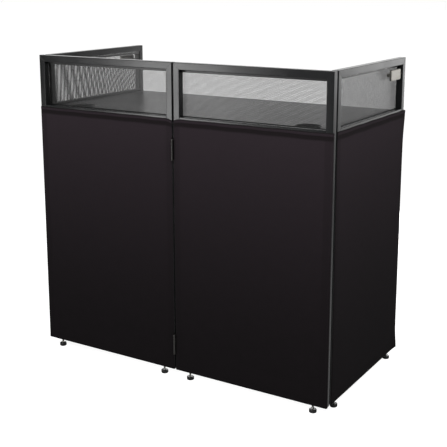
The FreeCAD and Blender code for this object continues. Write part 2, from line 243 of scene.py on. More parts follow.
@dataclass(frozen=True)
class PowderCoat(Finish):
    """Polyester powder baked on steel.

    It is a satin black with a fine orange-peel skin, so that lamps spread into broad soft bands,
    and handling leaves patches that are a little duller and paler.
    """

    name: str
    colour: str
    dulled: str
    satin: float
    dull: float
    # The skin's real peel is about a millimetre across
    peel: float = 1.2 * MM
    peel_depth: float = 0.03 * MM
    peel_strength: float = 0.4
    patch: float = 140.0 * MM
    patch_range: tuple[float, float] = (0.4, 0.7)

    def dress(self, tree: Tree, shader: Node, place: Socket) -> dict[str, Socket]:
        """Makes the peel, the dull patches and their colour; see Finish.dress."""
        worn = spread(tree, noise(tree, place, self.patch, detail=5.0, roughness=0.6), self.patch_range)
        peel = noise(tree, place, self.peel, detail=1.0)
        return {
            "Base Color": blend(tree, worn, self.colour, self.dulled),
            "Roughness": spread(tree, worn, FULL_RANGE, self.satin, self.dull),
            "Normal": bumped(tree, peel, self.peel_strength, self.peel_depth),
        }


@dataclass(frozen=True)
class StretchJersey(Finish):
    """Warp-knitted polyester and elastane jersey, dyed black.

    It is matt with a faint fuzz sheen. Its colour holds painted light: pulled thin over an opening
    it is painted a warm charcoal for the light that comes through it, and over the black
    hook-and-loop strip and steel of a rail it is painted deeper as painted shade. It is painted
    paler towards the top and darker towards the bottom, as painted light that falls from above.
    """

    hem_low: float
    hem_high: float
    name: str = "black_stretch_jersey"
    # Painted light and shade: the open span's colour is the cloth lit by light that comes through it, and
    # the next is the painted shade over the tubes, the rail and the hem's fold
    painted_light_colour: str = "#2d272b"
    painted_shade_colour: str = "#1a1718"
    # The painted shade towards the bottom, where the cloth gets less light
    painted_lower_shade_colour: str = "#141213"
    # The painted light's fade up the cloth grows faster than the height
    light_fade_power: float = 1.8
    # Wales lie about 0.8 mm apart on the real knit, and are drawn three times as coarse to show
    wale: float = 2.4 * MM
    course: float = 2.0 * MM
    loop_depth: float = 0.12 * MM
    loop_strength: float = 0.5
    loop_distortion: float = 0.6
    mottle: float = 35.0 * MM
    mottle_share: float = 0.16
    roughness: float = 0.88
    specular: float = 0.02
    fuzz: float = 0.01
    fuzz_roughness: float = 0.5

    def knit(self, tree: Tree, flat: Socket) -> Socket:
        """Makes the loops' height from wales and courses; flat is the cloth's own coordinates."""
        waves = [
            add_node(tree, "ShaderNodeTexWave", {
                "Vector": flat, "Scale": WAVE_PERIOD / size, "Distortion": self.loop_distortion},
                bands_direction=axis).outputs["Fac"]
            for size, axis in ((self.wale, "X"), (self.course, "Y"))]
        loops = add_node(tree, "ShaderNodeMath", dict(enumerate(waves)), operation="MULTIPLY")
        return loops.outputs["Value"]

    def dress(self, tree: Tree, shader: Node, place: Socket) -> dict[str, Socket]:
        """Makes the knit, the painted light and shade, and the fuzz; see Finish.dress."""
        for name, value in (("Roughness", self.roughness), ("Specular IOR Level", self.specular),
                            ("Sheen Weight", self.fuzz), ("Sheen Roughness", self.fuzz_roughness)):
            shader.inputs[name].default_value = value
        flat = add_node(tree, "ShaderNodeUVMap", uv_map=Cover.UV_NAME).outputs["UV"]
        height = add_node(tree, "ShaderNodeSeparateXYZ", {0: place}).outputs["Z"]
        # Painted light: the colour fades from the painted shade at the bottom to the lit colours at the
        # top, with a random mottle added
        light_fade = add_node(tree, "ShaderNodeMath", {
            0: spread(tree, height, (self.hem_low, self.hem_high)), 1: self.light_fade_power}, operation="POWER")
        mottle = noise(tree, flat, self.mottle, detail=6.0, roughness=0.7)
        light_fade_and_mottle = add_node(tree, "ShaderNodeMath", {
            0: mottle, 1: self.mottle_share, 2: light_fade.outputs["Value"]}, operation="MULTIPLY_ADD")
        # Painted shade where tubes, rail and fold lie behind or in the cloth, read from a vertex attribute
        painted_shade = add_node(tree, "ShaderNodeAttribute", attribute_name=Cover.PAINTED_SHADE_NAME).outputs["Fac"]
        tone = blend(tree, painted_shade, self.painted_light_colour, self.painted_shade_colour)
        return {
            "Base Color": blend(tree, light_fade_and_mottle.outputs["Value"], self.painted_lower_shade_colour, tone),
            "Normal": bumped(tree, self.knit(tree, flat), self.loop_strength, self.loop_depth),
        }


@dataclass(frozen=True)
class MelamineBoard(Finish):
    """Black melamine paper pressed on board.

    A pearl plate leaves tiny dimples, so it is smooth enough to mirror the room at a low angle
    and softly blurred when seen from above. Hands leave faint duller smears.
    """

    name: str = "pressed_black_melamine"
    colour: str = "#1a1a1b"
    smear_colour: str = "#232324"
    # Pearl dimples are about 0.6 mm across, and are drawn twice as coarse to show
    pearl: float = 1.2 * MM
    pearl_depth: float = 0.02 * MM
    pearl_strength: float = 0.12
    smear: float = 90.0 * MM
    smear_range: tuple[float, float] = (0.35, 0.75)
    clean: float = 0.29
    smeared: float = 0.34

    def dress(self, tree: Tree, shader: Node, place: Socket) -> dict[str, Socket]:
        """Makes the dimples and the smears; see Finish.dress."""
        smear = noise(tree, place, self.smear, detail=4.0, distortion=0.8)
        return {
            "Base Color": blend(tree, smear, self.colour, self.smear_colour),
            "Roughness": spread(tree, smear, self.smear_range, self.clean, self.smeared),
            "Normal": bumped(tree, cells(tree, place, self.pearl), self.pearl_strength, self.pearl_depth),
        }


@dataclass(frozen=True)
class MouldedPlastic(Finish):
    """Thermoplastic moulded in an etched tool.

    The etched skin is a fine leathery grain that scatters highlights, with paler scuffs where it
    has been knocked.
    """

    name: str
    colour: str
    scuff_colour: str
    roughness: float
    specular: float = 0.5
    grain: float = 0.9 * MM
    grain_depth: float = 0.04 * MM
    grain_strength: float = 0.5
    scuff: float = 14.0 * MM
    scuff_range: tuple[float, float] = (0.52, 0.75)
    scuff_roughness: float = 0.15

    def dress(self, tree: Tree, shader: Node, place: Socket) -> dict[str, Socket]:
        """Makes the etched grain and the scuffs; see Finish.dress."""
        shader.inputs["Specular IOR Level"].default_value = self.specular
        rubbed = spread(tree, noise(tree, place, self.scuff, detail=8.0, roughness=0.7), self.scuff_range)
        grain = cells(tree, place, self.grain, "SMOOTH_F1")
        return {
            "Base Color": blend(tree, rubbed, self.colour, self.scuff_colour),
            "Roughness": spread(
                tree, rubbed, FULL_RANGE, self.roughness, self.roughness + self.scuff_roughness),
            "Normal": bumped(tree, grain, self.grain_strength, self.grain_depth),
        }


@dataclass(frozen=True)
class ZincPlate(Finish):
    """Electroplated zinc on steel with a passivate, clear or black.

    It is a grey metal whose thin film drifts between blue and straw, and whose crystals and
    rubbing break its highlights up.
    """

    name: str
    blue_tint: str
    straw_tint: str
    bright: float
    rubbed: float
    drift: float = 9.0 * MM
    drift_range: tuple[float, float] = (0.3, 0.7)
    spangle: float = 0.7 * MM
    spangle_depth: float = 0.02 * MM
    spangle_strength: float = 0.3

    def dress(self, tree: Tree, shader: Node, place: Socket) -> dict[str, Socket]:
        """Makes the film's tint and the crystals; see Finish.dress."""
        shader.inputs["Metallic"].default_value = 1.0
        drift = noise(tree, place, self.drift, detail=3.0, distortion=0.5)
        spangle = cells(tree, place, self.spangle)
        return {
            "Base Color": blend(tree, drift, self.blue_tint, self.straw_tint),
            "Roughness": spread(tree, drift, self.drift_range, self.bright, self.rubbed),
            "Normal": bumped(tree, spangle, self.spangle_strength, self.spangle_depth),
        }


@dataclass(frozen=True)
class BrushedAluminium(Finish):
    """Aluminium sheet brushed along its length and clear anodised.

    Fine parallel scratches smear its highlights across the brushing, over a pale warm silver.
    """

    name: str = "brushed_anodised_aluminium"
    colour: str = "#bcb9b2"
    shade_colour: str = "#98948c"
    # Scratches are about 0.2 mm apart, and are drawn three times as coarse to show
    scratch: float = 0.6 * MM
    scratch_length: float = 60.0 * MM
    scratch_depth: float = 0.015 * MM
    scratch_strength: float = 0.3
    scratch_range: tuple[float, float] = (0.3, 0.7)
    polished: float = 0.3
    scratched: float = 0.48

    def dress(self, tree: Tree, shader: Node, place: Socket) -> dict[str, Socket]:
        """Makes the brushing along the booth's depth; see Finish.dress."""
        shader.inputs["Metallic"].default_value = 1.0
        across = 1.0 / self.scratch
        brushed = add_node(tree, "ShaderNodeMapping", {
            "Vector": place, "Scale": (across, 1.0 / self.scratch_length, across)})
        lines = noise(tree, brushed.outputs["Vector"], size=1.0, detail=3.0)
        return {
            "Base Color": blend(tree, lines, self.colour, self.shade_colour),
            "Roughness": spread(tree, lines, self.scratch_range, self.polished, self.scratched),
            "Normal": bumped(tree, lines, self.scratch_strength, self.scratch_depth),
        }


FRAME_COAT = PowderCoat("satin_black_powder_coat", "#121314", "#191a1b", satin=0.2, dull=0.26)
GRILLE_COAT = PowderCoat("matt_black_grille_coat", "#141414", "#1b1b1b", satin=0.28, dull=0.36)
BRACKET_COAT = PowderCoat("black_dipped_bracket_coat", "#131313", "#202020", satin=0.45, dull=0.6)
JERSEY = StretchJersey(*(corner.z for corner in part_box("front_left_cover")))
MELAMINE = MelamineBoard()
EDGE_BAND = MouldedPlastic("extruded_abs_edge_band", "#161617", "#222223", roughness=0.45)
GROMMET_ABS = MouldedPlastic("moulded_black_abs", "#101010", "#1c1c1c", roughness=0.55, specular=0.25)
FOOT_NYLON = MouldedPlastic("moulded_black_nylon", "#0a0a0a", "#161615", roughness=0.4)
ZINC = ZincPlate("clear_zinc_plate", "#a9aeb4", "#b9b4a6", 0.28, 0.44)
BLACK_ZINC = ZincPlate("black_zinc_plate", "#47484a", "#504d48", 0.18, 0.28)
ALUMINIUM = BrushedAluminium()


def add_box(bm: Mesh, low: Vector, high: Vector) -> list[bmesh.types.BMVert]:
    """Adds a box between two corners.

    Args:
        bm: The mesh that takes the box.
        low: Its lowest corner.
        high: Its highest corner.

    Returns:
        The box's vertices.
    """
    size = Matrix.Diagonal((*(high - low), 1.0))
    place = Matrix.Translation((low + high) / 2.0)
    return bmesh.ops.create_cube(bm, size=1.0, matrix=place @ size)["verts"]


def round_edges(bm: Mesh, edges: Iterable[bmesh.types.BMEdge], radius: float, segments: int) -> None:
    """Rounds edges with a bevel.

    Args:
        bm: The mesh that has the edges.
        edges: The edges to round.
        radius: How far the bevel reaches on each side.
        segments: How many strips it has.
    """
    bmesh.ops.bevel(
        bm, geom=list(edges), offset=radius, offset_type="OFFSET", segments=segments, profile=0.5,
        affect="EDGES", material=-1, clamp_overlap=True)


def along(edge: bmesh.types.BMEdge, axis: Vector) -> bool:
    """Returns whether an edge runs along an axis."""
    return abs((edge.verts[1].co - edge.verts[0].co).normalized().dot(axis)) > ALONG_COSINE


def everything(bm: Mesh) -> list:
    """Returns all points, edges and faces of a mesh."""
    return bm.verts[:] + bm.edges[:] + bm.faces[:]


def thicken(piece: bpy.types.Object, thickness: float, offset: float) -> None:
    """Gives a sheet its thickness; offset is minus one inwards and zero to both sides."""
    sheet = piece.modifiers.new("sheet", "SOLIDIFY")
    sheet.thickness = thickness
    sheet.offset = offset


def add_screw(bm: Mesh, place: Vector, out: Vector, radius: float, height: float) -> None:
    """Adds a low screw head with a socket, seated on a face.

    Args:
        bm: The mesh that takes the head.
        place: The middle of its seat.
        out: The direction that it faces.
        radius: The head's radius.
        height: How far it stands out.
    """
    turn = out.to_track_quat("Z", "Y").to_matrix().to_4x4()
    head = bmesh.ops.create_cone(
        bm, cap_ends=True, segments=HEAD_SIDES, radius1=radius, radius2=radius * SCREW_TAPER, depth=height,
        matrix=Matrix.Translation(place + out * height / 2.0) @ turn)["verts"]
    bm.normal_update()
    top = max({face for vert in head for face in vert.link_faces}, key=lambda face: face.normal.dot(out))
    bmesh.ops.inset_individual(bm, faces=[top], thickness=radius * SCREW_RIM)
    bmesh.ops.inset_individual(
        bm, faces=[top], thickness=radius * SOCKET_WALL, depth=-height * SOCKET_DEPTH)


def add_dome(bm: Mesh, place: Vector, out: Vector, radius: float, height: float) -> None:
    """Adds a rivet's low domed head, half of it above its seat.

    Args:
        bm: The mesh that takes the head.
        place: The middle of its seat.
        out: The direction that it faces.
        radius: The head's radius.
        height: How far it stands out.
    """
    turn = out.to_track_quat("Z", "Y").to_matrix().to_4x4()
    bmesh.ops.create_uvsphere(
        bm, u_segments=HEAD_SIDES, v_segments=HEAD_SIDES // 2, radius=1.0,
        matrix=Matrix.Translation(place) @ turn @ Matrix.Diagonal((radius, radius, height, 1.0)))


def body_of(node: str) -> str:
    """Returns the name of the body that a CAD node rides on."""
    return frame["nodes"][node]["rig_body"]


def make_piece(name: str, bm: Mesh, finishes: Sequence[Finish], body: str,
               replaced: Sequence[str] = ()) -> bpy.types.Object:
    """Turns a mesh into a finished piece that rides on its body.

    Args:
        name: The piece's name.
        bm: Its mesh in the booth's frame, which is freed.
        finishes: Its finishes, in the order of its material numbers.
        body: The body that carries it.
        replaced: CAD nodes that it stands for.

    Returns:
        The piece's object.
    """
    mesh = bpy.data.meshes.new(name)
    bm.to_mesh(mesh)
    bm.free()
    for finish in finishes:
        mesh.materials.append(finish.material())
    mesh.shade_smooth()
    mesh.set_sharp_from_angle(angle=CRISP_ANGLE)
    piece = bpy.data.objects.new(name, mesh)
    bpy.context.scene.collection.objects.link(piece)
    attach(piece, body)
    if replaced:
        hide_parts(*replaced)
    LOG.info("%s rides on %s", name, body)
    return piece


def even_normals(piece: bpy.types.Object) -> None:
    """Weighs a piece's normals by face size, so that flat faces beside rounded edges stay flat."""
    piece.modifiers.new("even_normals", "WEIGHTED_NORMAL").keep_sharp = True


def dress_node(node: str, finish: Finish) -> None:
    """Gives a CAD node that stays in view its finish."""
    mesh = frame["nodes"][node].data
    mesh.materials.clear()
    mesh.materials.append(finish.material())
    LOG.info("%s is dressed in %s", node, finish.name)


class Standing(Enum):
    """Where a panel stands, as the turn from the booth's axes to the panel's own."""

    FRONT = 0.0
    LEFT = -math.pi / 2.0
    RIGHT = math.pi / 2.0


class Member(Enum):
    """A tube of a panel's frame, with its axis and the way to the panel's middle where it is mitred."""

    LEFT_STILE = ("left_stile", Z_AXIS, X_AXIS)
    RIGHT_STILE = ("right_stile", Z_AXIS, -X_AXIS)
    TOP_RAIL = ("top_rail", X_AXIS, -Z_AXIS)
    BOTTOM_RAIL = ("bottom_rail", X_AXIS, Z_AXIS)
    CROSS_RAIL = ("cross_rail", X_AXIS, None)

    def __init__(self, label: str, axis: Vector, inwards: Optional[Vector]) -> None:
        """Keeps the tube's facts by name."""
        self.label = label
        self.axis = axis
        self.inwards = inwards


@dataclass
class Panel:
    """One panel: its welded frame, its grille and the coordinates that its parts share.

    A panel's own X runs along its width, Y inwards from its outer face and Z up.

    Attributes:
        name: The panel's name, which starts the names of its nodes.
        standing: Where it stands.
        edge_radius: The tube's outer corner radius.
        edge_steps: How many strips round a corner.
        weld_groove: The depth of the ground weld's line round a tube's end.
        hole_pitch: The distance between the grille's holes.
        hole_flat: A hole's width across its flats.
        sheet: The grille's thickness.
        margin: The height of the plain strip along the grille's upper edge.
        margin_fold: How far the strips stand out from the grille's back.
        margin_slope: How far the upper strip's fold rises towards the back.
        lower_margin: The height of the strip along the grille's lower edge, which slopes back as far.
    """

    name: str
    standing: Standing
    edge_radius: float = 2.2 * MM
    edge_steps: int = 4
    weld_groove: float = 0.6 * MM
    hole_pitch: float = 4.4 * MM
    hole_flat: float = 2.8 * MM
    sheet: float = 0.7 * MM
    margin: float = 8.5 * MM
    margin_fold: float = 4.0 * MM
    margin_slope: float = 1.5 * MM
    lower_margin: float = 1.3 * MM

    def __post_init__(self) -> None:
        """Works out the panel's own axes and its width from its stiles."""
        lows, highs = zip(*(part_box(f"{self.name}_{end}_stile") for end in ENDS))
        low, high = Vector(map(min, *lows)), Vector(map(max, *highs))
        corners = {
            Standing.FRONT: (low.x, low.y),
            Standing.LEFT: (low.x, high.y),
            Standing.RIGHT: (high.x, low.y),
        }
        self.matrix = (Matrix.Translation((*corners[self.standing], low.z))
                       @ Matrix.Rotation(self.standing.value, 4, "Z"))
        left_low, left_high = self.own_box(f"{self.name}_left_stile")
        self.tube = left_high.x - left_low.x
        self.width = self.own_box(f"{self.name}_right_stile")[1].x

    def own_box(self, node: str) -> tuple[Vector, Vector]:
        """Measures a node in the panel's own axes.

        Args:
            node: The node's name.

        Returns:
            Its lowest and highest corner.
        """
        corners = [self.matrix.inverted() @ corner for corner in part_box(node)]
        return Vector(map(min, *corners)), Vector(map(max, *corners))

    def finish_piece(self, name: str, bm: Mesh, finish: Finish, slot: str,
                     replaced: Sequence[str] = (), body: Optional[str] = None) -> bpy.types.Object:
        """Takes a mesh from the panel's own axes to the booth's and finishes it.

        Args:
            name: The piece's name after the panel's.
            bm: Its mesh in the panel's own axes.
            finish: Its finish.
            slot: Its material slot's name; not used.
            replaced: CAD nodes that it stands for.
            body: The body that carries it, or none for the panel's own.

        Returns:
            The piece's object.
        """
        bm.transform(self.matrix)
        return make_piece(f"{self.name}_{name}", bm, [finish], body or self.name, replaced)

    def build_tube(self, member: Member) -> None:
        """Builds one tube with rounded edges, and a fine groove where it is welded to the next.

        Args:
            member: Which tube of the frame it is.
        """
        node = f"{self.name}_{member.label}"
        low, high = self.own_box(node)
        bm = bmesh.new()
        verts = add_box(bm, low + member.axis * self.weld_groove, high - member.axis * self.weld_groove)
        middle = (low + high) / 2.0
        if member.inwards is not None:
            inner = [vert for vert in verts if (vert.co - middle).dot(member.inwards) > 0.0]
            for way in (member.axis, -member.axis):
                end = [vert for vert in inner if (vert.co - middle).dot(way) > 0.0]
                bmesh.ops.translate(bm, verts=end, vec=-way * self.tube)
        round_edges(bm, [edge for edge in bm.edges if along(edge, member.axis)], self.edge_radius,
                    self.edge_steps)
        bm.normal_update()
        ends = [face for face in bm.faces if abs(face.normal.dot(member.axis)) > END_COSINE]
        bmesh.ops.inset_individual(bm, faces=ends, thickness=self.weld_groove, depth=self.weld_groove)
        even_normals(self.finish_piece(f"{member.label}_tube", bm, FRAME_COAT, "frame_steel", [node]))

    def build_grille(self) -> None:
        """Builds the perforated sheet from six-sided cells, trimmed to the window between its margins."""
        node = f"{self.name}_grille"
        low, high = self.own_box(node)
        pitch = self.hole_pitch
        double_row = pitch * math.sqrt(3.0)
        columns = math.ceil((high.x - low.x) / pitch) + 2
        rows = math.ceil((high.z - low.z) / double_row) + 1
        overhang = Vector(((columns * pitch - high.x + low.x) / 2.0, 0.0, double_row / 2.0))
        bm = bmesh.new()
        bmesh.ops.create_circle(
            bm, cap_ends=True, segments=6, radius=pitch / math.sqrt(3.0),
            matrix=Matrix.Translation(low - overhang) @ Matrix.Rotation(math.pi / 2.0, 4, "X"))
        cell = bm.faces[:]
        bmesh.ops.inset_individual(bm, faces=cell, thickness=(pitch - self.hole_flat) / 2.0)
        bmesh.ops.delete(bm, geom=cell, context="FACES_ONLY")
        twin = bmesh.ops.duplicate(bm, geom=everything(bm))["geom"]
        bmesh.ops.translate(
            bm, verts=[item for item in twin if isinstance(item, bmesh.types.BMVert)],
            vec=(pitch / 2.0, 0.0, double_row / 2.0))
        for step, count in ((X_AXIS * pitch, columns), (Z_AXIS * double_row, rows)):
            bmesh.ops.spin(
                bm, geom=everything(bm), cent=low, axis=Y_AXIS, dvec=step, angle=0.0, steps=count,
                use_duplicate=True)
        bmesh.ops.remove_doubles(bm, verts=bm.verts[:], dist=MERGE_DISTANCE)
        upper = high - Z_AXIS * self.margin
        lower = low + Z_AXIS * self.lower_margin
        for corner, out in ((lower, -X_AXIS), (lower, -Z_AXIS), (upper, X_AXIS), (upper, Z_AXIS)):
            bmesh.ops.bisect_plane(bm, geom=everything(bm), plane_co=corner, plane_no=out, clear_outer=True)
        piece = self.finish_piece("perforated_sheet", bm, GRILLE_COAT, "grille_steel", [node])
        piece.data.shade_flat()
        thicken(piece, self.sheet, -1.0)

    def build_margins(self) -> None:
        """Builds the plain strips along the grille's upper and lower edges, with their folds."""
        low, high = self.own_box(f"{self.name}_grille")
        front = high.y - self.margin_fold
        bm = bmesh.new()
        for bottom, top, edge, shift in (
                (high.z - self.margin, high.z, high.z, -Z_AXIS * self.margin_slope),
                (low.z, low.z + self.lower_margin, low.z, Y_AXIS * self.lower_margin)):
            verts = add_box(bm, Vector((low.x, front, bottom)), Vector((high.x, high.y, top)))
            fold = [vert for vert in verts
                    if vert.co.y < front + self.sheet and abs(vert.co.z - edge) < self.sheet]
            bmesh.ops.translate(bm, verts=fold, vec=shift)
        self.finish_piece("grille_margins", bm, GRILLE_COAT, "grille_steel")

    def build(self) -> None:
        """Builds the frame, the grille, the feet and the brackets for the table."""
        for member in Member:
            self.build_tube(member)
        self.build_grille()
        self.build_margins()
        for end in ENDS:
            LevellingFoot(self, end).build()
        InsertCollars(self).build()
        if self.standing is Standing.FRONT:
            TableRest(self, "table_rest", 1).build()
        else:
            TableRest(self, "table_rests", 2).build()


@dataclass
class LevellingFoot:
    """A levelling foot: a round moulded pad on a threaded stud.

    Attributes:
        panel: The panel that stands on it.
        end: Which end of the panel it is at.
        pad_height: The pad's height.
        pad_edge: The rounding of the pad's rims.
        pad_sides: How many sides the pad has.
        edge_steps: How many strips round its rims.
        stud_radius: The stud's outer radius.
        stud_pitch: The rise of one turn of the thread.
        thread_depth: The thread's depth.
        thread_steps: How many sides a turn has.
    """

    panel: Panel
    end: str
    pad_height: float = 12.0 * MM
    pad_edge: float = 2.6 * MM
    pad_sides: int = 48
    edge_steps: int = 5
    stud_radius: float = 4.0 * MM
    stud_pitch: float = 1.25 * MM
    thread_depth: float = 0.6 * MM
    thread_steps: int = 14

    def make_pad(self, middle: Vector, radius: float) -> Mesh:
        """Returns the pad's mesh; middle is the middle of its sole."""
        pad = bmesh.new()
        bmesh.ops.create_cone(
            pad, cap_ends=True, segments=self.pad_sides, radius1=radius, radius2=radius,
            depth=self.pad_height, matrix=Matrix.Translation(middle + Z_AXIS * self.pad_height / 2.0))
        rims = [edge for edge in pad.edges if not along(edge, Z_AXIS)]
        round_edges(pad, rims, self.pad_edge, self.edge_steps)
        return pad

    def make_stud(self, foot: Vector, height: float) -> Mesh:
        """Winds the thread up the stud and closes its ends.

        Args:
            foot: The middle of the stud's lower end.
            height: Its height.

        Returns:
            The stud's mesh.
        """
        stud = bmesh.new()
        turns = int(height / self.stud_pitch)
        root = self.stud_radius - self.thread_depth
        outline = ((root, 0.0), (self.stud_radius, self.stud_pitch / 2.0), (root, self.stud_pitch))
        verts = [stud.verts.new(foot + Vector((reach, 0.0, rise))) for reach, rise in outline]
        edges = [stud.edges.new(pair) for pair in zip(verts, verts[1:])]
        bmesh.ops.spin(
            stud, geom=verts + edges, cent=foot, axis=Z_AXIS, angle=math.tau * turns,
            dvec=Z_AXIS * self.stud_pitch / self.thread_steps, steps=self.thread_steps * turns)
        bmesh.ops.remove_doubles(stud, verts=stud.verts[:], dist=MERGE_DISTANCE)
        bmesh.ops.holes_fill(stud, edges=[edge for edge in stud.edges if edge.is_boundary])
        bmesh.ops.recalc_face_normals(stud, faces=stud.faces[:])
        return stud

    def build(self) -> None:
        """Builds the pad and the stud, which ride on the foot."""
        node = f"{self.panel.name}_{self.end}_foot"
        low, high = self.panel.own_box(node)
        middle = Vector(((low.x + high.x) / 2.0, (low.y + high.y) / 2.0, low.z))
        pad = self.make_pad(middle, (high.x - low.x) / 2.0)
        # The stud starts one turn inside the pad
        stud = self.make_stud(
            middle + Z_AXIS * (self.pad_height - self.stud_pitch), high.z - low.z - self.pad_height)
        even_normals(self.panel.finish_piece(
            f"{self.end}_foot_pad", pad, FOOT_NYLON, "foot_rubber", [node], node))
        self.panel.finish_piece(f"{self.end}_foot_stud", stud, ZINC, "insert_steel", (), node)


@dataclass
class InsertCollars:
    """The flanged collars, under the bottom rail, of the inserts that the feet screw into.

    Attributes:
        panel: The panel that has the inserts.
        radius: A collar's radius.
        height: How far a collar stands down from the rail.
        taper_share: Its lower radius as a share of its radius.
        edge_share: The rounding of its rims as a share of its height.
        edge_steps: How many strips round them.
        sides: How many sides it has.
    """

    panel: Panel
    radius: float = 8.5 * MM
    height: float = 1.4 * MM
    taper_share: float = 0.9
    edge_share: float = 0.2
    edge_steps: int = 2
    sides: int = 32

    def build(self) -> None:
        """Builds both collars."""
        name = self.panel.name
        bm = bmesh.new()
        for end in ENDS:
            low, high = self.panel.own_box(f"{name}_{end}_foot")
            middle = Vector(((low.x + high.x) / 2.0, (low.y + high.y) / 2.0, -self.height / 2.0))
            bmesh.ops.create_cone(
                bm, cap_ends=True, segments=self.sides, radius1=self.radius * self.taper_share,
                radius2=self.radius, depth=self.height, matrix=Matrix.Translation(middle))
        rims = [edge for edge in bm.edges if edge.calc_face_angle() > RIM_ANGLE]
        round_edges(bm, rims, self.height * self.edge_share, self.edge_steps)
        self.panel.finish_piece("insert_collars", bm, ZINC, "insert_steel", [f"{name}_foot_inserts"])


@dataclass
class TableRest:
    """The angle brackets on a panel's cross rail that the table rests on, and their screws.

    Attributes:
        panel: The panel that carries them.
        label: Their node's name after the panel's.
        count: How many brackets there are, one or two.
        width: A bracket's width.
        sheet: Its thickness.
        screw_shares: Where the screws lie along a bracket.
        screw_drop: How far the screws lie below the bracket's top.
        screw_radius: A screw head's radius.
        screw_height: How far a head stands out.
    """

    panel: Panel
    label: str
    count: int
    width: float = 40.0 * MM
    sheet: float = 2.0 * MM
    screw_shares: tuple[float, ...] = (0.25, 0.75)
    screw_drop: float = 9.0 * MM
    screw_radius: float = 3.4 * MM
    screw_height: float = 0.9 * MM

    def build(self) -> None:
        """Dresses the brackets and adds the screws that hold them."""
        node = f"{self.panel.name}_{self.label}"
        dress_node(node, BRACKET_COAT)
        low, high = self.panel.own_box(node)
        bm = bmesh.new()
        for start in (low.x, high.x - self.width)[:self.count]:
            for share in self.screw_shares:
                seat = Vector((start + self.width * share, low.y + self.sheet, high.z - self.screw_drop))
                add_screw(bm, seat, Y_AXIS, self.screw_radius, self.screw_height)
        self.panel.finish_piece("rest_screws", bm, ZINC, "bracket_steel")


